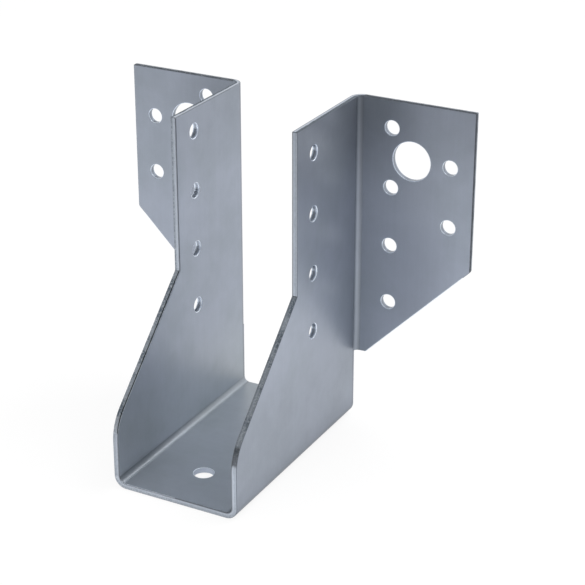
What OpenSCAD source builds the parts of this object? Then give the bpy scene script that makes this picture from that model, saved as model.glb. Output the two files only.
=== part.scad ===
// Joist hanger with outward flanges, folded from one piece of galvanised sheet.
// A joist drops into the pocket between the walls, stands on the seat and is nailed through the walls.
// The flanges lie against the header and are nailed or bolted to it.
// Origin: middle of the footprint, on the plane that the seat stands on.
// +X runs across the joist, +Y points at the header and +Z is up.

/* [Joist pocket] */
// Width of the joist that the pocket takes
joist_w = 40; // [34:1:100]
// Play left between the joist and the walls, both sides together
joist_play = 0.5; // [0:0.1:3]
// Height of the walls above the upper face of the seat, where the blank's ends are cut on centre
wall_h = 110; // [100:1:200]
// How far the ends are cut off centre: this makes the right half higher and the left half lower
end_shift = 1.1; // [0:0.1:2]
// Depth from the header face to the front edge of the seat
hanger_d = 82; // [76:1:120]

/* [Sheet] */
// Thickness of the sheet
sheet_t = 2; // [1.5:0.1:3]
// Inner radius of every bend
bend_r = 2; // [1:0.1:3]

/* [Wall outline] */
// Depth of the upper part of each wall, from the header face to its front edge
wall_d = 43; // [36:1:60]
// Height above the base at which the front edge leaves the upright and slopes forward
knee_z = 59.5; // [50:0.5:75]
// Height above the base at which the sloping edge would reach the front of the seat
nose_z = 22; // [18:0.5:30]
// Radius that rounds the nose between the sloping edge and the front edge
nose_r = 14; // [4:1:18]
// Distance from the header face to the rear edge of the seat and of the lower walls
rear_step = 2.5; // [2:0.1:3.5]

/* [Flange outline] */
// Width of each flange, from the outer face of its wall to its outer edge
flange_w = 40; // [38:1:60]
// Height above the base of the straight foot of each flange
foot_z = 24; // [20:1:32]
// Width of the straight foot, from the outer face of the wall to the start of the slope
foot_w = 4; // [4:0.5:8]
// Height above the base of the lower outer corner of each flange
corner_z = 60; // [46:1:66]
// Radius of the lower outer corner
corner_r = 1.2; // [0.4:0.2:4]

/* [Nail holes] */
// Diameter of the nail holes
nail_d = 5; // [3:0.1:6]
// Distance between nail holes in a column
nail_pitch = 20; // [14:1:24]
// Distance from the centred top edge to the highest nail hole of a flange, and least one to the sloping edge
nail_edge = 8; // [6:0.5:10]
// Distance from the outer face of the wall to the inner column of a flange
inner_column = 11.75; // [10:0.25:14]
// Distance from the outer face of the wall to the outer column of a flange
outer_column = 32; // [30:0.5:34]
// Distance from the centred top edge to the highest nail hole of a wall
wall_nail_edge = 8.5; // [6:0.5:10]
// Distance from the front edge of the upper wall to its column of nail holes
wall_column = 10.5; // [8:0.5:14]

/* [Bolt and screw holes] */
// Diameter of the bolt hole in each flange
bolt_d = 13; // [9:0.5:13]
// Distance from the outer face of the wall to the bolt hole
bolt_column = 18.75; // [18:0.25:20]
// Distance from the centred top edge to the bolt hole
bolt_edge = 18; // [16:0.5:20]
// Diameter of the screw hole in the seat
screw_d = 6.6; // [4:0.2:9]
// Distance from the front edge of the seat to its screw hole
screw_edge = 17.5; // [10:0.5:30]

/* [Hidden] */
$fn = 96;

bend_out = bend_r + sheet_t;
hanger_h = wall_h + sheet_t;
// Heights above the base of the right half's top edge and of the left half's
tops = [hanger_h + end_shift, hanger_h - end_shift];
wall_in = (joist_w + joist_play) / 2;
wall_out = wall_in + sheet_t;
channel_len = hanger_d - rear_step;
flange_edge = wall_out + flange_w;
foot_end = wall_out + foot_w;
knee = [-wall_d, knee_z];
nose = [-hanger_d, nose_z];
corner = [flange_edge, corner_z];
foot = [foot_end, foot_z];
// Length by which cutters reach past the faces that they cut
past = 1;

function unit(v) = v / norm(v);

// Slope of a flange's lower edge, and the height of that edge at a distance from the wall
flange_slope = atan2(corner_z - foot_z, flange_edge - foot_end);
function flange_low(column) = foot_z + max(0, column - foot_w) * tan(flange_slope);

// Heights of the nail holes that fit in a flange's column, from the top one down
function column_rows(column, top) =
    let (lowest = flange_low(column) + nail_edge / cos(flange_slope))
    [for (z = top; z >= lowest; z = z - nail_pitch) z];

inner_rows = column_rows(inner_column, hanger_h - nail_edge);
outer_rows = column_rows(outer_column, hanger_h - nail_edge - nail_pitch / 2);

// What a radius r takes off the corner at p, whose edges leave it along a and b
module corner_waste(p, a, b, r) {
    u = unit(a);
    v = unit(b);
    half = acos(u * v) / 2;
    run = r / tan(half);
    difference() {
        polygon([p + run * u, p + run * v, p + run * v - past * u, p - past * (u + v), p + run * u - past * v]);
        translate(p + r / sin(half) * unit(u + v)) circle(r);
    }
}

// A right-angle bend of the sheet about the Z axis, from +X to +Y
module bend(length) {
    rotate_extrude(angle = 90) translate([bend_r, 0]) square([sheet_t, length]);
}

// Seat, its two bends and both walls, at their full depth and height
module channel_blank() {
    translate([bend_out - wall_out, -hanger_d, 0])
        cube([2 * (wall_out - bend_out), channel_len, sheet_t]);
    for (side = [0, 1]) mirror([side, 0, 0]) {
        translate([wall_out - bend_out, -hanger_d, bend_out]) rotate([-90, 0, 0]) bend(channel_len);
        translate([wall_in, -hanger_d, bend_out])
            cube([sheet_t, channel_len, tops[side] - bend_out]);
    }
}

// Outline of the walls seen from the side, with Y across and Z up, as high as the higher one
module wall_outline() {
    difference() {
        polygon([
            [-rear_step, 0], [-rear_step, foot_z], [-bend_out, foot_z], [-bend_out, tops[0]],
            [-wall_d, tops[0]], knee, nose, [-hanger_d, 0]
        ]);
        corner_waste(nose, knee - nose, [0, -1], nose_r);
    }
}

// The U-shaped channel that holds the joist
module channel() {
    intersection() {
        channel_blank();
        translate([-wall_out - past, 0, 0]) rotate([90, 0, 90])
            linear_extrude(2 * (wall_out + past)) wall_outline();
    }
}

// Outline of a right-hand flange seen from the front, with X across and Z up
module flange_outline(top) {
    difference() {
        polygon([
            [wall_out + bend_r, foot_z], foot, corner,
            [flange_edge, top], [wall_out + bend_r, top]
        ]);
        corner_waste(corner, foot - corner, [0, 1], corner_r);
    }
}

// A right-hand flange up to a height, with the upright bend that joins it to its wall
module flange(top) {
    translate([wall_out + bend_r, -bend_out, foot_z]) rotate([0, 0, 90]) bend(top - foot_z);
    rotate([90, 0, 0]) linear_extrude(sheet_t) flange_outline(top);
}

// A hole of diameter d through a flange, at x from the middle and z above the base
module flange_hole(x, z, d) {
    translate([x, past, z]) rotate([90, 0, 0]) cylinder(d = d, h = sheet_t + 2 * past);
}

// All the holes of the right-hand flange
module flange_holes() {
    for (z = inner_rows) flange_hole(wall_out + inner_column, z, nail_d);
    for (z = outer_rows) flange_hole(wall_out + outer_column, z, nail_d);
    flange_hole(wall_out + bolt_column, hanger_h - bolt_edge, bolt_d);
}

// The column of nail holes through the right-hand wall
module wall_holes() {
    for (row = [0 : len(inner_rows) - 1])
        translate([wall_in - past, wall_column - wall_d, hanger_h - wall_nail_edge - row * nail_pitch])
            rotate([0, 90, 0]) cylinder(d = nail_d, h = sheet_t + 2 * past);
}

// The whole folded sheet
module hanger() {
    color([0.60, 0.63, 0.68]) translate([0, hanger_d / 2, 0]) difference() {
        union() {
            channel();
            for (side = [0, 1]) mirror([side, 0, 0]) flange(tops[side]);
        }
        for (side = [0, 1]) mirror([side, 0, 0]) {
            flange_holes();
            wall_holes();
        }
        translate([0, screw_edge - hanger_d, -past]) cylinder(d = screw_d, h = sheet_t + 2 * past);
    }
}

hanger();
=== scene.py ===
import math

import bpy
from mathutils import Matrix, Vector

# Looks of a joist hanger folded from galvanised sheet, on a pale floor in soft light.
# Lengths are in metres in the part's own frame: +X across the joist, +Y to the header, +Z up.
# The sheet's material works in millimetres, with x measured outwards from the middle of the joist.
# A pair is where a smooth step starts and ends, or the two values that a pattern or a mask runs between.
# A tone is a factor of the colour, or an amount that is added to such a factor.

NODE = "hanger"

# Camera, placed by the point that it looks at
TARGET = Vector((0.0194, 0.0, 0.0597))
DISTANCE = 0.5476
AZIMUTH = math.radians(28.24)
ELEVATION = math.radians(24.32)
LENS_MM = 108.5
SENSOR_MM = 36.0

# Rounding of the sheared edges, in metres: its width, and the relief under each flange, which it leaves out
EDGE_ROUND = 0.00022
EDGE_SEGMENTS = 3
SAME_POINT = 1e-6
FLAT = math.radians(1.0)
SHARP = math.radians(30.0)
RELIEF_X = 0.0222
RELIEF_Y = 0.036
RELIEF_Z = 0.024
RELIEF_REACH = 0.0035

# The folded sheet: its thickness, the inner radius and the axes of its bends, and where its holes are
MM = 1000.0
SHEET_MM = 2.0
MID_DEPTH = 0.5
BEND_IN_MM = 2.0
SEAT_AXIS_X = 18.25
SEAT_AXIS_Z = 4.0
FLANGE_AXIS_X = 24.25
FLANGE_AXIS_Y = 37.0
FLANGE_STARTS = (FLANGE_AXIS_X - 1.0, FLANGE_AXIS_X)
FLANGE_EDGE_X = 60.0
TOP_EDGE_Z = 107.0
WALL_HOLES_Y = 8.5
SEAT_HOLE_Y = -23.5
HOLE_REACH = 4.5

# How closely the surface's normal follows the sheet's own: from cut to rolled face, and round the edges
FACE_STARTS = (0.45, 0.80)
RIM_STARTS = (0.03, 0.25)
RIM_ENDS = (0.975, 0.999)

# Product of the forward and upward parts of the normal: on the walls' slopes, and in the turns at their ends
SLOPE_STARTS = (0.18, 0.24)
CORNER_STARTS = (0.14, 0.22)
CORNER_ENDS = (0.455, 0.49)

# Colours of the zinc as it reflects straight on, and of the bare sheared steel
ZINC = (0.378, 0.417, 0.496)
ZINC_DULL = (0.342, 0.382, 0.446)
ZINC_GREENER = (1.05, 1.045, 0.985)
STEEL_SHINY = (0.49, 0.54, 0.62)
STEEL_ROUGH = (0.120, 0.148, 0.180)
# Lighter patches in the slopes' torn steel, lifted by painted light
STEEL_SLOPE = (0.290, 0.325, 0.365)
# Painted shade: the flanges' torn steel, darker than the walls'
STEEL_FLANGE_PAINTED_SHADE = (0.055, 0.068, 0.085)
STEEL_FLECK = (0.62, 0.67, 0.73)
HOLE_WALL = (0.34, 0.38, 0.45)
# Painted light: the seat's hole wall, lighter than the other holes' walls
SEAT_HOLE_WALL_PAINTED_LIGHT = (0.60, 0.67, 0.80)
METALLIC = 0.74

# Patterns of the zinc: features per millimetre, detail and roughness
CLOUDS = (0.035, 3.0, 0.55)
BLOOMS = (0.16, 4.0, 0.60)
STREAKS = (0.55, 3.0, 0.60)
HAIRLINES = (3.2, 3.0, 0.65)
GRAIN = (1.7, 2.0, 0.60)

# Crystals of the zinc: how many per millimetre, and how soft their borders are
CRYSTALS = (0.32, 0.35)

# Patterns drawn out along the strip: the length's factor in their coordinates, and the hairlines' own layer
STREAK_STRETCH = 0.018
HAIRLINE_STRETCH = 0.05
HAIRLINE_LAYER = 7.0

# How the zinc's patterns show: share of the clouds in its dullness, and swing of its tone and roughness
CLOUD_SHARE = 0.75
DULL_STARTS = (0.38, 0.66)
STREAK_TONE = 0.055
GRAIN_TONE = 0.025
CRYSTAL_TONE = 0.012
HAIRLINE_TONE = 0.03
SEAT_BLOOM_TONE = 0.15
ZINC_ROUGH = (0.31, 0.43)
STREAK_ROUGH = 0.04

# Relief in metres for a height of 1, and heights of the zinc's patterns
RELIEF_HEIGHT = 0.000006
CLOUD_RELIEF = 2.0
GRAIN_RELIEF = 0.35
HAIRLINE_RELIEF = 0.5

# Painted shade on both sides of the middle of a flange's bend, which narrows the bend's highlight
BEND_SHADE_STARTS = (0.0, 0.35)
BEND_SHADE_POWER = 4.0
BEND_SHADE_TONE = 0.76

# Places with painted shade and painted light on the zinc, and the darker front of the seat:
# where they start and end, and by how much their tone changes
SEAT_FRONT_Y = (-32.0, -8.0)
SEAT_FRONT_TONE = -0.13
# Painted shade that dims the highlight in the seat's bend
SEAT_BEND_X = (SEAT_AXIS_X, SEAT_AXIS_X + 0.6)
SEAT_BEND_PAINTED_SHADE = -0.17
SEAT_BEND_VARIES = (0.4, 1.6)
# Painted contact shadow on the lowest part of the outer face
LOWEST_Z = (0.4, 1.4)
LOWEST_PAINTED_SHADOW = -0.40
# Painted shade low on the walls' outer faces, painted light low on the flanges' outer faces
LOW_Z = (20.0, 58.0)
LOW_WALL_PAINTED_SHADE = -0.15
LOW_FLANGE_PAINTED_LIGHT = 0.09
# Painted shade high on the walls and beside the flanges' bends
HIGH_Z = (80.0, 108.0)
BY_BEND_X = (30.0, 50.0)
HIGH_LEFT_PAINTED_SHADE = -0.14
HIGH_RIGHT_PAINTED_SHADE = -0.25
# Painted light near the right flange's outer edge
OUTER_EDGE_X = (42.0, 60.0)
OUTER_EDGE_Z = (88.0, 106.0)
OUTER_EDGE_PAINTED_LIGHT = 0.14
# Painted light on the walls' pocket faces towards the open front
WALL_FRONT_Y = (-15.0, 20.0)
WALL_FRONT_PAINTED_LIGHT = 0.11
POCKET_Z = (8.0, 42.0)

# Patterns of the sheared steel: features per millimetre, detail and roughness
TORN = (1.1, 4.0, 0.70)
FLECKS = (1.9, 2.0, 0.60)
WANDER = (0.35, 2.0, 0.50)
PATCHES = (0.14, 2.0, 0.50)
TEARS = (2.6, 3.0, 0.65)

# Burnished band of a sheared edge: how its end wanders, at which depth it ends, and how clear it is
WANDER_REACH = 0.20
FLANGE_TORN_MORE = 0.16
BURNISH_ENDS = (0.48, 0.62)
FLANGE_BURNISH = 0.7
SLOPE_BURNISH = 0.30
WORN_VARIES = (0.7, 1.3)

# Worn front edges, and the dark dashes along the left one
FRONT_STARTS = (0.80, 0.95)
FRONT_WORN = 0.80
DASH_WORN = 0.40
DASH_DEPTH = (0.60, 0.75)
DASH_TORN = (0.42, 0.52)
DASH_Z = (40.0, 55.0)

# Dark line of painted shade at the inner side of a sheared edge: its depth in the sheet and how clear it is
LINE_ENDS = (0.14, 0.28)
SLOPE_LINE_STARTS = (0.07, 0.15)
SLOPE_LINE_SHIFT = -0.10
LINE_CLEAR = 0.55
SLOPE_LINE_CLEAR = (0.2, 1.0)
LINE_TONE = 0.12

# Tones of the sheared steel by place: painted light on the slopes, corner under the right slope, and left
# nose
PATCH_STARTS = (0.42, 0.56)
RIGHT_SLOPE_Z = (40.0, 62.0)
RIGHT_SLOPE_PAINTED_LIGHT = (1.1, 1.5)
LEFT_SLOPE_PAINTED_LIGHT = 1.6
CORNER_TONE = (0.15, 0.65)
NOSE_Z = (20.0, 40.0)
NOSE_TONE = 0.84

# Light flecks in the torn steel: how clear they are off and on the slopes and the seat, and right and left
FLECK_STARTS = (0.50, 0.60)
SLOPE_FLECKS = (0.20, 0.95)
SEAT_FLECKS = (0.0, 0.75)
SIDE_FLECKS = (0.45, 1.0)

# Walls of the holes, lighter at both mouths than in the middle, as painted highlights
MOUTH_STARTS = (0.10, 0.40)
MOUTH_VARIES = (0.5, 1.5)
WALL_HOLE_TONE = (1.0, 2.5)
FLANGE_HOLE_TONE = (0.72, 1.05)
HOLE_ROUGH = 0.28

# Roughness and relief of the sheared steel
STEEL_ROUGHNESS = (0.60, 0.34)
TORN_ROUGH = 0.08
TEAR_DEPTH = 0.25
TORN_RELIEF = 0.8
STEEL_RELIEF = (14.0, 30.0)

# Painted shade and painted highlights on the rounding between faces
REAR_Y = (30.0, 36.0)
RIM_TONE = (0.68, 1.05)
LEFT_SLOPE_RIM_TONE = 1.7
HOLE_RIM_TONE = 2.4
RIM_VARIES = (0.4, 1.4)

WHITE = (1.0, 1.0, 1.0)

# Floor: its size and colour, and its glow, which is dimmer to mirrored rays round and under the part,
# as a painted pool of light and a painted shadow
FLOOR_HALF = 3.0
FLOOR_COLOUR = (0.92, 0.92, 0.92)
FLOOR_GLOW = 0.88
FULL_GLOW_STARTS = (0.30, 0.80)
# Painted pool of light, dimmer ahead of and behind the part, and painted shadow under its foot
AHEAD_LEAN = 0.60
AHEAD_STARTS = (0.10, 0.26)
BEHIND_Y = (0.02, 0.20)
BEHIND_GLOW = 0.90
FOOT_HALF_X = 0.020
FOOT_HALF_Y = 0.038
FOOT_ENDS = (0.0, 0.014)
FOOT_PAINTED_SHADOW = 0.50

# World: the dark parts of the room that mirrored rays meet, and the light from the sides and from overhead
ROOM_LEAN = 0.25
OVERHEAD_STARTS = (0.22, 0.60)
OVERHEAD_GLOW = 0.04
ROOM_AHEAD_STARTS = (0.10, 0.60)
ROOM_AHEAD_GLOW = 0.20
SIDE_LIGHT = 0.30
TOP_LIGHT = 0.85

# Lamps: name, place, aim, width in metres, power in watts, and whether mirrored rays see it
LAMPS = (
    ("key", (0.35, 0.45, 0.9), (0.0, 0.0, 0.05), 0.7, 5.5, True),
    ("front", (0.12, -1.00, 0.30), (0.0, 0.0, 0.03), 0.7, 4.5, False),
)


class Nodes:
    """Adds nodes to one node tree and wires them."""

    def __init__(self, tree):
        self.tree = tree

    def add(self, kind, **settings):
        node = self.tree.nodes.new(kind)
        for name, value in settings.items():
            setattr(node, name, value)
        return node

    def wire(self, source, socket):
        """Sets a socket from another node's output, or from a plain value or colour."""
        if isinstance(source, bpy.types.NodeSocket):
            self.tree.links.new(source, socket)
        elif socket.type == "RGBA":
            socket.default_value = (*source, 1.0)
        else:
            socket.default_value = source

    def math(self, operation, *values, clamp=False):
        node = self.add("ShaderNodeMath", operation=operation, use_clamp=clamp)
        for value, socket in zip(values, node.inputs):
            self.wire(value, socket)
        return node.outputs[0]

    def vector_math(self, operation, *values):
        node = self.add("ShaderNodeVectorMath", operation=operation)
        for value, socket in zip(values, node.inputs):
            self.wire(value, socket)
        return node.outputs

    def product(self, first, *others):
        """All the values multiplied together."""
        for other in others:
            first = self.math("MULTIPLY", first, other)
        return first

    def inverse(self, value):
        """1 where the value is 0, and 0 where it is 1."""
        return self.math("SUBTRACT", 1.0, value)

    def step(self, value, low, high):
        """0 below low, 1 above high and smooth between them."""
        node = self.add("ShaderNodeMapRange", interpolation_type="SMOOTHSTEP")
        self.wire(value, node.inputs["Value"])
        node.inputs["From Min"].default_value = low
        node.inputs["From Max"].default_value = high
        return node.outputs["Result"]

    def below(self, value, low, high):
        """1 below low, 0 above high and smooth between them."""
        return self.inverse(self.step(value, low, high))

    def choose(self, factor, first, second):
        """first where the factor is 0, second where it is 1."""
        node = self.add("ShaderNodeMix", data_type="FLOAT")
        for value, socket in zip((factor, first, second), (node.inputs[0], node.inputs[2], node.inputs[3])):
            self.wire(value, socket)
        return node.outputs[0]

    def span(self, value, low, high):
        """Stretches 0 to 1 into low to high."""
        return self.choose(value, low, high)

    def swing(self, value, reach):
        """Stretches 0 to 1 into minus reach to plus reach."""
        return self.choose(value, -reach, reach)

    def colour(self, factor, first, second):
        """The first colour where the factor is 0, the second where it is 1."""
        node = self.add("ShaderNodeMix", data_type="RGBA")
        for value, socket in zip((factor, first, second), (node.inputs[0], node.inputs[6], node.inputs[7])):
            self.wire(value, socket)
        return node.outputs[2]

    def shade(self, colour, value):
        """Darkens or lightens a colour."""
        node = self.add("ShaderNodeVectorMath", operation="SCALE")
        self.wire(colour, node.inputs[0])
        self.wire(value, node.inputs["Scale"])
        return node.outputs[0]

    def vector(self, x, y, z):
        node = self.add("ShaderNodeCombineXYZ")
        for value, socket in zip((x, y, z), node.inputs):
            self.wire(value, socket)
        return node.outputs[0]

    def parts(self, vector):
        node = self.add("ShaderNodeSeparateXYZ")
        self.wire(vector, node.inputs[0])
        return node.outputs

    def noise(self, vector, scale, detail, roughness):
        node = self.add("ShaderNodeTexNoise")
        self.wire(vector, node.inputs["Vector"])
        node.inputs["Scale"].default_value = scale
        node.inputs["Detail"].default_value = detail
        node.inputs["Roughness"].default_value = roughness
        return node.outputs["Fac"]

    def crystals(self, vector, scale, softness):
        """Cells with soft borders and a value each."""
        node = self.add("ShaderNodeTexVoronoi", feature="SMOOTH_F1")
        self.wire(vector, node.inputs["Vector"])
        node.inputs["Scale"].default_value = scale
        node.inputs["Smoothness"].default_value = softness
        return self.parts(node.outputs["Color"])[0]

    def bump(self, height, distance):
        node = self.add("ShaderNodeBump")
        node.inputs["Distance"].default_value = distance
        self.wire(height, node.inputs["Height"])
        return node.outputs[0]

    def ray(self, *kinds):
        """1 for rays of any of these kinds, 0 for others."""
        path = self.add("ShaderNodeLightPath")
        found = path.outputs[kinds[0]]
        for kind in kinds[1:]:
            found = self.math("MAXIMUM", found, path.outputs[kind])
        return found


def new_material(name):
    material = bpy.data.materials.new(name)
    material.use_nodes = True
    material.node_tree.nodes.clear()
    return material, Nodes(material.node_tree)


class Sheet:
    """Where a point of the part lies in the folded sheet, worked out from its position and normal.

    low is 1 in the seat and its bends, flange in the flanges and slope on the walls' sloping fronts.
    face is 1 on the rolled faces and 0 on the cut ones. depth runs from 0 on the pocket's side to 1 on
    the outer side. across and along are millimetres across and along the folded strip.
    """

    def __init__(self, nodes):
        self.nodes = nodes
        coordinates = nodes.add("ShaderNodeTexCoord")
        self.place = nodes.shade(coordinates.outputs["Object"], MM)
        x, self.y, self.z = nodes.parts(self.place)
        normal_x, self.normal_y, normal_z = nodes.parts(coordinates.outputs["Normal"])
        outward = nodes.math("MULTIPLY", normal_x, nodes.math("SIGN", x))
        self.normal = nodes.vector(outward, self.normal_y, normal_z)
        self.x = nodes.math("ABSOLUTE", x)
        self.left = nodes.math("LESS_THAN", x, 0.0)
        self.right = nodes.inverse(self.left)
        self.low = nodes.math("LESS_THAN", self.z, SEAT_AXIS_Z)
        self.upright = nodes.inverse(self.low)
        self.flange = nodes.product(nodes.step(self.x, *FLANGE_STARTS), self.upright)
        self.tilt = nodes.product(self.normal_y, nodes.math("MULTIPLY", normal_z, -1.0))
        self.slope = nodes.step(self.tilt, *SLOPE_STARTS)
        self.find_face()
        self.find_holes()
        self.across = nodes.choose(self.flange, self.y, self.x)
        self.along = nodes.math("ADD", self.z, nodes.product(self.x, self.low))

    def find_face(self):
        """Compares the surface's normal with the direction away from the nearest bend's axis."""
        nodes = self.nodes
        out = nodes.math("MAXIMUM", nodes.math("SUBTRACT", self.x, SEAT_AXIS_X), 0.0)
        down = nodes.math("MINIMUM", nodes.math("SUBTRACT", self.z, SEAT_AXIS_Z), 0.0)
        inward = nodes.math("MINIMUM", nodes.math("SUBTRACT", self.x, FLANGE_AXIS_X), 0.0)
        back = nodes.math("MAXIMUM", nodes.math("SUBTRACT", self.y, FLANGE_AXIS_Y), 0.0)
        away = nodes.add("ShaderNodeMix", data_type="VECTOR")
        nodes.wire(self.low, away.inputs[0])
        nodes.wire(nodes.vector(inward, back, 0.0), away.inputs[4])
        nodes.wire(nodes.vector(out, 0.0, down), away.inputs[5])
        away = away.outputs[1]
        radius = nodes.vector_math("LENGTH", away)["Value"]
        dot = nodes.vector_math("DOT_PRODUCT", away, self.normal)["Value"]
        self.aligned = nodes.math("DIVIDE", nodes.math("ABSOLUTE", dot), radius)
        self.face = nodes.step(self.aligned, *FACE_STARTS)
        inner = nodes.math("DIVIDE", nodes.math("SUBTRACT", radius, BEND_IN_MM), SHEET_MM)
        self.depth = nodes.choose(self.low, nodes.inverse(inner), inner)
        self.inside = nodes.math("LESS_THAN", self.depth, MID_DEPTH)
        self.outside = nodes.inverse(self.inside)

        # The sine of twice the angle round a flange's bend is 1 at its middle and 0 at its ends
        sine = nodes.math("DIVIDE", nodes.product(inward, back, -2.0), nodes.product(radius, radius))
        self.bend_middle = nodes.math("MULTIPLY", sine, self.upright, clamp=True)

    def find_holes(self):
        """Marks the areas round the holes. Of the outline, they take in only the flanges' lower edges."""
        nodes = self.nodes
        wall = self.near(self.y, WALL_HOLES_Y)
        seat = nodes.product(self.near(self.y, SEAT_HOLE_Y), nodes.math("LESS_THAN", self.x, HOLE_REACH))
        flange = nodes.math("LESS_THAN", self.x, FLANGE_EDGE_X)
        place = nodes.choose(self.low, nodes.choose(self.flange, wall, flange), seat)
        self.hole = nodes.product(place, nodes.math("LESS_THAN", self.z, TOP_EDGE_Z))

    def near(self, value, middle):
        """1 within the reach of a hole's centre, 0 beyond it."""
        nodes = self.nodes
        away = nodes.math("ABSOLUTE", nodes.math("SUBTRACT", value, middle))
        return nodes.math("LESS_THAN", away, HOLE_REACH)

    def strip(self, stretch, layer):
        """Coordinates that draw a pattern out along the folded strip."""
        nodes = self.nodes
        return nodes.vector(self.across, nodes.math("MULTIPLY", self.along, stretch), layer)


def painted_light_and_shade(nodes, sheet, grain):
    """Tone of broad places with painted shade and painted light on the zinc, and of the seat's darker front.
    """
    shade_by_bend = nodes.product(nodes.step(sheet.z, *HIGH_Z), nodes.below(sheet.x, *BY_BEND_X))
    light_at_outer_edge = nodes.product(nodes.step(sheet.x, *OUTER_EDGE_X), nodes.below(sheet.z, *OUTER_EDGE_Z))
    seat_bend_shade = nodes.product(sheet.low, sheet.inside, nodes.step(sheet.x, *SEAT_BEND_X))
    low_shade_and_light = nodes.choose(sheet.flange, LOW_WALL_PAINTED_SHADE, LOW_FLANGE_PAINTED_LIGHT)
    # Painted shade in the seat's bend, on the lowest outer part, low on the walls and high by the bends;
    # painted light low on the flanges, by the right flange's edge and inside the walls' fronts
    places = (
        (nodes.product(nodes.below(sheet.y, *SEAT_FRONT_Y), sheet.low, sheet.inside), SEAT_FRONT_TONE),
        (nodes.product(seat_bend_shade, nodes.span(grain, *SEAT_BEND_VARIES)), SEAT_BEND_PAINTED_SHADE),
        (nodes.product(nodes.below(sheet.z, *LOWEST_Z), sheet.outside), LOWEST_PAINTED_SHADOW),
        (nodes.product(nodes.below(sheet.z, *LOW_Z), sheet.outside), low_shade_and_light),
        (shade_by_bend, nodes.choose(sheet.left, HIGH_RIGHT_PAINTED_SHADE, HIGH_LEFT_PAINTED_SHADE)),
        (nodes.product(light_at_outer_edge, sheet.flange, sheet.right), OUTER_EDGE_PAINTED_LIGHT),
        (nodes.product(nodes.below(sheet.y, *WALL_FRONT_Y), sheet.inside, sheet.upright), WALL_FRONT_PAINTED_LIGHT),
    )
    factor = 1.0
    for place, tone in places:
        factor = nodes.math("MULTIPLY_ADD", place, tone, factor)
    return factor


def zinc(nodes, sheet):
    """Satin zinc with soft clouds, rolling streaks, faint crystals and a fine grain, as a colour, a
    roughness and a relief. It is less blue low in the pocket, and has painted shade and painted light
    at the flanges' bends and in broad places."""
    clouds = nodes.noise(sheet.place, *CLOUDS)
    blooms = nodes.noise(sheet.place, *BLOOMS)
    streaks = nodes.noise(sheet.strip(STREAK_STRETCH, 0.0), *STREAKS)
    hairlines = nodes.noise(sheet.strip(HAIRLINE_STRETCH, HAIRLINE_LAYER), *HAIRLINES)
    grain = nodes.noise(sheet.place, *GRAIN)
    crystals = nodes.crystals(sheet.place, *CRYSTALS)

    dull = nodes.step(nodes.choose(CLOUD_SHARE, blooms, clouds), *DULL_STARTS)
    tone = nodes.math("MULTIPLY_ADD", nodes.swing(blooms, SEAT_BLOOM_TONE), sheet.low, 1.0)
    tone = nodes.math("ADD", tone, nodes.swing(streaks, STREAK_TONE))
    tone = nodes.math("ADD", tone, nodes.swing(grain, GRAIN_TONE))
    tone = nodes.math("ADD", tone, nodes.swing(crystals, CRYSTAL_TONE))
    tone = nodes.math("ADD", tone, nodes.swing(hairlines, HAIRLINE_TONE))
    # Painted shade on both flanks of a flange's bend, which narrows its highlight
    off_middle = nodes.inverse(nodes.math("POWER", sheet.bend_middle, BEND_SHADE_POWER))
    bend_flank_shade = nodes.product(nodes.step(sheet.bend_middle, *BEND_SHADE_STARTS), off_middle)
    colour = nodes.shade(nodes.colour(dull, ZINC, ZINC_DULL), tone)
    colour = nodes.shade(colour, nodes.span(bend_flank_shade, 1.0, BEND_SHADE_TONE))
    # Painted shade and painted light in broad places, and the darker seat front
    colour = nodes.shade(colour, painted_light_and_shade(nodes, sheet, grain))
    pocket = nodes.product(nodes.below(sheet.z, *POCKET_Z), sheet.inside)
    colour = nodes.colour(pocket, colour, nodes.vector_math("MULTIPLY", colour, ZINC_GREENER)[0])

    roughness = nodes.math("ADD", nodes.span(blooms, *ZINC_ROUGH), nodes.swing(streaks, STREAK_ROUGH))
    relief = nodes.math("MULTIPLY", clouds, CLOUD_RELIEF)
    relief = nodes.math("MULTIPLY_ADD", grain, GRAIN_RELIEF, relief)
    relief = nodes.math("MULTIPLY_ADD", hairlines, HAIRLINE_RELIEF, relief)
    return colour, roughness, relief


def worn_steel(nodes, sheet, torn):
    """Where sheared steel is bright: in the burnished band next to the pocket, and on the front edges."""
    wander = nodes.swing(nodes.noise(sheet.place, *WANDER), WANDER_REACH)
    depth = nodes.math("MULTIPLY_ADD", sheet.flange, FLANGE_TORN_MORE, nodes.math("ADD", sheet.depth, wander))
    burnished = nodes.product(nodes.below(depth, *BURNISH_ENDS),
                              nodes.span(sheet.flange, 1.0, FLANGE_BURNISH),
                              nodes.span(sheet.slope, 1.0, SLOPE_BURNISH))
    dashes = nodes.product(nodes.step(depth, *DASH_DEPTH), nodes.step(torn, *DASH_TORN),
                           sheet.left, nodes.step(sheet.z, *DASH_Z))
    forward = nodes.math("MULTIPLY", sheet.normal_y, -1.0)
    front = nodes.product(nodes.step(forward, *FRONT_STARTS), nodes.span(dashes, FRONT_WORN, DASH_WORN))
    worn = nodes.math("MAXIMUM", burnished, front)
    return nodes.math("MULTIPLY", worn, nodes.span(torn, *WORN_VARIES), clamp=True)


def painted_shade_line(nodes, sheet):
    """A dark line of painted shade at the inner side of a sheared edge, clearest on the left slope."""
    depth = nodes.math("MULTIPLY_ADD", sheet.slope, SLOPE_LINE_SHIFT, sheet.depth)
    clear = nodes.choose(sheet.slope, LINE_CLEAR, nodes.span(sheet.left, *SLOPE_LINE_CLEAR))
    start = nodes.choose(sheet.slope, 1.0, nodes.step(sheet.depth, *SLOPE_LINE_STARTS))
    return nodes.product(nodes.below(depth, *LINE_ENDS), clear, start, nodes.inverse(sheet.hole))


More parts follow.
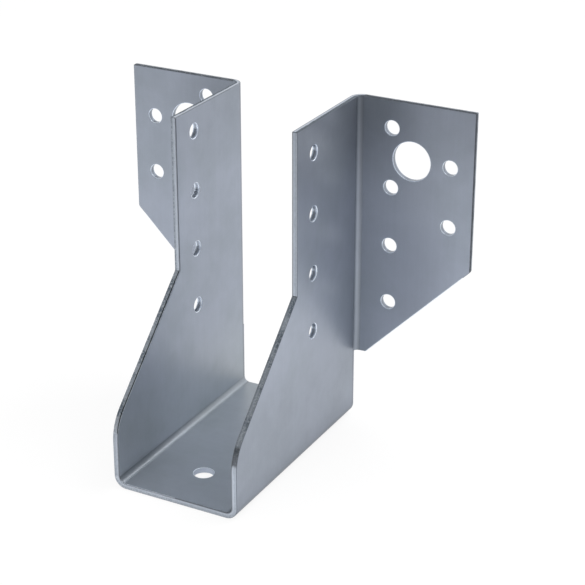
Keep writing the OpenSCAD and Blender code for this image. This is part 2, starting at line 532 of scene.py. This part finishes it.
def light_flecks(nodes, sheet, shade_line):
    """Light flecks, clearest on the slopes and on the seat's cut edges, and fading into the painted shade
    line.
    """
    on_slope = nodes.span(sheet.slope, *SLOPE_FLECKS)
    on_seat = nodes.span(sheet.low, *SEAT_FLECKS)
    return nodes.product(nodes.step(nodes.noise(sheet.place, *FLECKS), *FLECK_STARTS),
                         nodes.math("MAXIMUM", on_slope, on_seat),
                         nodes.span(sheet.left, *SIDE_FLECKS), nodes.inverse(shade_line))


def hole_wall(nodes, sheet, torn):
    """Colour of the wall of a hole, with painted highlights at its mouths, and painted light on the seat's
    hole wall.
    """
    off_middle = nodes.math("ABSOLUTE", nodes.math("SUBTRACT", sheet.depth, MID_DEPTH))
    mouth_highlight = nodes.product(nodes.step(off_middle, *MOUTH_STARTS), nodes.span(torn, *MOUTH_VARIES))
    tone = nodes.choose(sheet.flange,
                        nodes.span(mouth_highlight, *WALL_HOLE_TONE), nodes.span(mouth_highlight, *FLANGE_HOLE_TONE))
    return nodes.colour(sheet.low, nodes.shade(HOLE_WALL, tone), SEAT_HOLE_WALL_PAINTED_LIGHT)


def steel(nodes, sheet, torn):
    """Bare sheared steel, as a colour, a roughness and a relief: burnished next to the pocket, torn and
    darker next to the outer face, and roughest on the slopes, with painted light on the slopes and
    painted shade on the flanges' edges and along the inner side."""
    worn = worn_steel(nodes, sheet, torn)
    # Patches on the slopes, lightened by painted light, most on the left and towards the top on the right
    patches = nodes.step(nodes.noise(sheet.place, *PATCHES), *PATCH_STARTS)
    right_slope_light = nodes.span(nodes.step(sheet.z, *RIGHT_SLOPE_Z), *RIGHT_SLOPE_PAINTED_LIGHT)
    slope = nodes.shade(nodes.colour(patches, STEEL_ROUGH, STEEL_SLOPE),
                        nodes.choose(sheet.left, right_slope_light, LEFT_SLOPE_PAINTED_LIGHT))
    # Painted shade on the flanges' torn steel
    rough = nodes.colour(sheet.slope, nodes.colour(sheet.flange, STEEL_ROUGH, STEEL_FLANGE_PAINTED_SHADE), slope)
    shade_line = painted_shade_line(nodes, sheet)
    colour = nodes.colour(worn, rough, STEEL_SHINY)
    colour = nodes.colour(light_flecks(nodes, sheet, shade_line), colour, STEEL_FLECK)
    colour = nodes.colour(sheet.hole, colour, hole_wall(nodes, sheet, torn))

    corner = nodes.product(nodes.step(sheet.tilt, *CORNER_STARTS), nodes.below(sheet.tilt, *CORNER_ENDS),
                           sheet.right, nodes.inverse(sheet.hole))
    nose = nodes.product(sheet.left, nodes.below(sheet.z, *NOSE_Z), sheet.upright)
    colour = nodes.shade(colour, nodes.span(corner, 1.0, nodes.span(torn, *CORNER_TONE)))
    # Painted shade along the inner side of the sheared edges
    colour = nodes.shade(colour, nodes.span(shade_line, 1.0, LINE_TONE))
    colour = nodes.shade(colour, nodes.span(nose, 1.0, NOSE_TONE))

    roughness = nodes.math("ADD", nodes.span(worn, *STEEL_ROUGHNESS), nodes.swing(torn, TORN_ROUGH))
    roughness = nodes.choose(sheet.hole, roughness, HOLE_ROUGH)
    edge = nodes.vector(nodes.math("ADD", sheet.across, sheet.along), 0.0,
                        nodes.math("MULTIPLY", sheet.depth, TEAR_DEPTH))
    tears = nodes.math("MULTIPLY_ADD", torn, TORN_RELIEF, nodes.noise(edge, *TEARS))
    relief = nodes.product(tears, nodes.span(sheet.slope, *STEEL_RELIEF))
    return colour, roughness, relief


def painted_rim_shade_and_highlights(nodes, sheet, torn):
    """Paints shade on the rounding between a cut and a rolled face, and paints highlights on it at the holes
    and on the inner side of the left slope, and a little light at the rear and on the right slope."""
    rim = nodes.product(nodes.step(sheet.aligned, *RIM_STARTS), nodes.below(sheet.aligned, *RIM_ENDS))
    rear = nodes.product(nodes.step(sheet.y, *REAR_Y), nodes.inverse(sheet.flange))
    plain = nodes.math("MAXIMUM", rear, nodes.product(sheet.slope, sheet.right))
    left_slope = nodes.product(sheet.slope, sheet.left, sheet.inside)
    tone = nodes.choose(left_slope, nodes.span(plain, *RIM_TONE), LEFT_SLOPE_RIM_TONE)
    tone = nodes.choose(sheet.hole, tone, HOLE_RIM_TONE)
    return nodes.span(nodes.product(rim, nodes.span(torn, *RIM_VARIES)), 1.0, tone)


def galvanised():
    """Zinc on the rolled faces of the sheet and bare steel on its sheared edges."""
    material, nodes = new_material("galvanised sheet")
    sheet = Sheet(nodes)
    torn = nodes.noise(sheet.place, *TORN)
    zinc_colour, zinc_roughness, zinc_relief = zinc(nodes, sheet)
    steel_colour, steel_roughness, steel_relief = steel(nodes, sheet, torn)
    # Painted shade and painted highlights on the rounding of the edges
    colour = nodes.shade(nodes.colour(sheet.face, steel_colour, zinc_colour), painted_rim_shade_and_highlights(nodes, sheet, torn))
    relief = nodes.choose(sheet.face, steel_relief, zinc_relief)
    shader = nodes.add("ShaderNodeBsdfPrincipled")
    shader.inputs["Metallic"].default_value = METALLIC
    nodes.wire(colour, shader.inputs["Base Color"])
    nodes.wire(nodes.choose(sheet.face, steel_roughness, zinc_roughness), shader.inputs["Roughness"])
    nodes.wire(nodes.bump(relief, RELIEF_HEIGHT), shader.inputs["Normal"])
    out = nodes.add("ShaderNodeOutputMaterial")
    nodes.wire(shader.outputs[0], out.inputs["Surface"])
    return material


def painted_floor_light_and_shadow(nodes, x, y):
    """Painted pool of light and painted shadow on the floor, as mirrored rays see it: dimmer far in front,
    behind the part and under it.
    """
    ahead = nodes.math("SUBTRACT", nodes.math("MULTIPLY", x, AHEAD_LEAN), y)
    side = nodes.math("SUBTRACT", nodes.math("ABSOLUTE", x), FOOT_HALF_X)
    end = nodes.math("SUBTRACT", nodes.math("ABSOLUTE", y), FOOT_HALF_Y)
    # Painted shadow under the part's foot, where the floor is dimmer to mirrored rays
    clear = nodes.step(nodes.math("MAXIMUM", side, end), *FOOT_ENDS)
    behind = nodes.step(y, *BEHIND_Y)
    return nodes.product(nodes.below(ahead, *AHEAD_STARTS), nodes.span(clear, FOOT_PAINTED_SHADOW, 1.0),
                         nodes.span(behind, 1.0, BEHIND_GLOW))


def make_floor():
    """A pale floor that looks white and keeps the part's shadow."""
    material, nodes = new_material("floor")
    x, y, _ = nodes.parts(nodes.add("ShaderNodeTexCoord").outputs["Object"])
    diffuse = nodes.add("ShaderNodeBsdfDiffuse")
    nodes.wire(FLOOR_COLOUR, diffuse.inputs["Color"])
    glow = nodes.add("ShaderNodeEmission")
    nodes.wire(WHITE, glow.inputs["Color"])
    direct = nodes.ray("Is Camera Ray", "Is Transmission Ray")
    # Mirrored rays see the floor with a painted pool of light and a painted shadow under the part
    nodes.wire(nodes.choose(direct, painted_floor_light_and_shadow(nodes, x, y), 1.0), glow.inputs["Strength"])
    reach = nodes.math("SQRT", nodes.math("MULTIPLY_ADD", x, x, nodes.product(y, y)))
    part_glow = nodes.span(nodes.step(reach, *FULL_GLOW_STARTS), FLOOR_GLOW, 1.0)
    seen = nodes.ray("Is Camera Ray", "Is Glossy Ray", "Is Transmission Ray")
    mix = nodes.add("ShaderNodeMixShader")
    nodes.wire(nodes.product(seen, part_glow), mix.inputs[0])
    nodes.wire(diffuse.outputs[0], mix.inputs[1])
    nodes.wire(glow.outputs[0], mix.inputs[2])
    out = nodes.add("ShaderNodeOutputMaterial")
    nodes.wire(mix.outputs[0], out.inputs["Surface"])
    bpy.ops.mesh.primitive_plane_add(size=2 * FLOOR_HALF)
    floor = bpy.context.object
    floor.name = "floor"
    floor.data.materials.append(material)


def make_world():
    """White to the camera, a room with dark parts overhead and in front to mirrored rays, and a soft
    light that is strongest from overhead."""
    world = bpy.data.worlds.new("studio")
    world.use_nodes = True
    world.node_tree.nodes.clear()
    nodes = Nodes(world.node_tree)
    _, y, z = nodes.parts(nodes.add("ShaderNodeTexCoord").outputs["Generated"])
    overhead = nodes.step(nodes.math("SUBTRACT", z, nodes.math("MULTIPLY", y, ROOM_LEAN)), *OVERHEAD_STARTS)
    ahead = nodes.step(nodes.math("MULTIPLY", y, -1.0), *ROOM_AHEAD_STARTS)
    room = nodes.product(nodes.span(overhead, 1.0, OVERHEAD_GLOW), nodes.span(ahead, 1.0, ROOM_AHEAD_GLOW))
    light = nodes.math("MULTIPLY_ADD", nodes.math("MAXIMUM", z, 0.0), TOP_LIGHT, SIDE_LIGHT)
    strength = nodes.choose(nodes.ray("Is Glossy Ray"), light, room)
    direct = nodes.ray("Is Camera Ray", "Is Transmission Ray")
    background = nodes.add("ShaderNodeBackground")
    nodes.wire(WHITE, background.inputs["Color"])
    nodes.wire(nodes.choose(direct, strength, 1.0), background.inputs["Strength"])
    out = nodes.add("ShaderNodeOutputWorld")
    nodes.wire(background.outputs[0], out.inputs["Surface"])
    bpy.context.scene.world = world


def make_lamp(name, place, aim, width, power, mirrored):
    lamp = bpy.data.lights.new(name, "AREA")
    lamp.shape = "DISK"
    lamp.size = width
    lamp.energy = power
    holder = bpy.data.objects.new(name, lamp)
    holder.visible_glossy = mirrored
    holder.location = place
    holder.rotation_euler = (Vector(aim) - Vector(place)).to_track_quat("-Z", "Y").to_euler()
    bpy.context.collection.objects.link(holder)


def make_camera():
    data = bpy.data.cameras.new("camera")
    data.sensor_width = SENSOR_MM
    data.lens = LENS_MM
    camera = bpy.data.objects.new("camera", data)
    back = Vector((math.sin(AZIMUTH) * math.cos(ELEVATION),
                   -math.cos(AZIMUTH) * math.cos(ELEVATION),
                   math.sin(ELEVATION)))
    camera.location = TARGET + DISTANCE * back
    camera.rotation_euler = (math.pi / 2 - ELEVATION, 0.0, AZIMUTH)
    bpy.context.collection.objects.link(camera)
    bpy.context.scene.camera = camera


def choose_edges():
    """A node group that shades the faces smooth and weighs each sharp edge for the bevel, but for the
    narrow ones round the relief under each flange, which stay sharp."""
    group = bpy.data.node_groups.new("choose edges", "GeometryNodeTree")
    group.interface.new_socket("Geometry", in_out="INPUT", socket_type="NodeSocketGeometry")
    group.interface.new_socket("Geometry", in_out="OUTPUT", socket_type="NodeSocketGeometry")
    nodes = Nodes(group)
    sharp = nodes.math("GREATER_THAN", nodes.add("GeometryNodeInputMeshEdgeAngle").outputs[0], SHARP)
    x, y, z = nodes.parts(nodes.add("GeometryNodeInputPosition").outputs[0])
    from_x = nodes.math("ABSOLUTE", nodes.math("SUBTRACT", nodes.math("ABSOLUTE", x), RELIEF_X))
    from_z = nodes.math("ABSOLUTE", nodes.math("SUBTRACT", z, RELIEF_Z))
    far = nodes.math("GREATER_THAN", nodes.math("MAXIMUM", from_x, from_z), RELIEF_REACH)
    rounded = nodes.product(sharp, nodes.math("MAXIMUM", far, nodes.math("LESS_THAN", y, RELIEF_Y)))
    left_sharp = nodes.math("SUBTRACT", sharp, rounded)

    smooth_faces = nodes.add("GeometryNodeSetShadeSmooth", domain="FACE")
    nodes.wire(nodes.add("NodeGroupInput").outputs[0], smooth_faces.inputs["Geometry"])
    smooth_edges = nodes.add("GeometryNodeSetShadeSmooth", domain="EDGE")
    nodes.wire(smooth_faces.outputs[0], smooth_edges.inputs["Geometry"])
    nodes.wire(nodes.inverse(left_sharp), smooth_edges.inputs["Shade Smooth"])
    store = nodes.add("GeometryNodeStoreNamedAttribute", data_type="FLOAT", domain="EDGE")
    store.inputs["Name"].default_value = "bevel_weight_edge"
    nodes.wire(smooth_edges.outputs[0], store.inputs["Geometry"])
    nodes.wire(rounded, store.inputs["Value"])
    nodes.wire(store.outputs[0], nodes.add("NodeGroupOutput").inputs[0])
    return group


def round_edges(part):
    """Rounds the sheared edges a little, as the rollers and the zinc leave them."""
    weld = part.modifiers.new("weld", "WELD")
    weld.merge_threshold = SAME_POINT
    flat = part.modifiers.new("flat faces", "DECIMATE")
    flat.decimate_type = "DISSOLVE"
    flat.angle_limit = FLAT
    chosen = part.modifiers.new("choose edges", "NODES")
    chosen.node_group = choose_edges()
    bevel = part.modifiers.new("edges", "BEVEL")
    bevel.width = EDGE_ROUND
    bevel.segments = EDGE_SEGMENTS
    bevel.limit_method = "WEIGHT"
    bevel.loop_slide = False
    bevel.use_clamp_overlap = False
    normals = part.modifiers.new("normals", "WEIGHTED_NORMAL")
    normals.keep_sharp = True


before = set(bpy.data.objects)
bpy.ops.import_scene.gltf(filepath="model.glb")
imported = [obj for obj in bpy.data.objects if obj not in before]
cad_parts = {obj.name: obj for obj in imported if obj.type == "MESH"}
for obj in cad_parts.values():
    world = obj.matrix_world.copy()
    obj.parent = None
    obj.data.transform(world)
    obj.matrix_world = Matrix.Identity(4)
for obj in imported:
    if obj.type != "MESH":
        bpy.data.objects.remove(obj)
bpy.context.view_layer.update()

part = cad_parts[NODE]
part.material_slots[0].material = galvanised()
round_edges(part)

make_camera()
make_floor()
make_world()
for lamp in LAMPS:
    make_lamp(*lamp)

scene = bpy.context.scene
scene.view_settings.view_transform = "Standard"
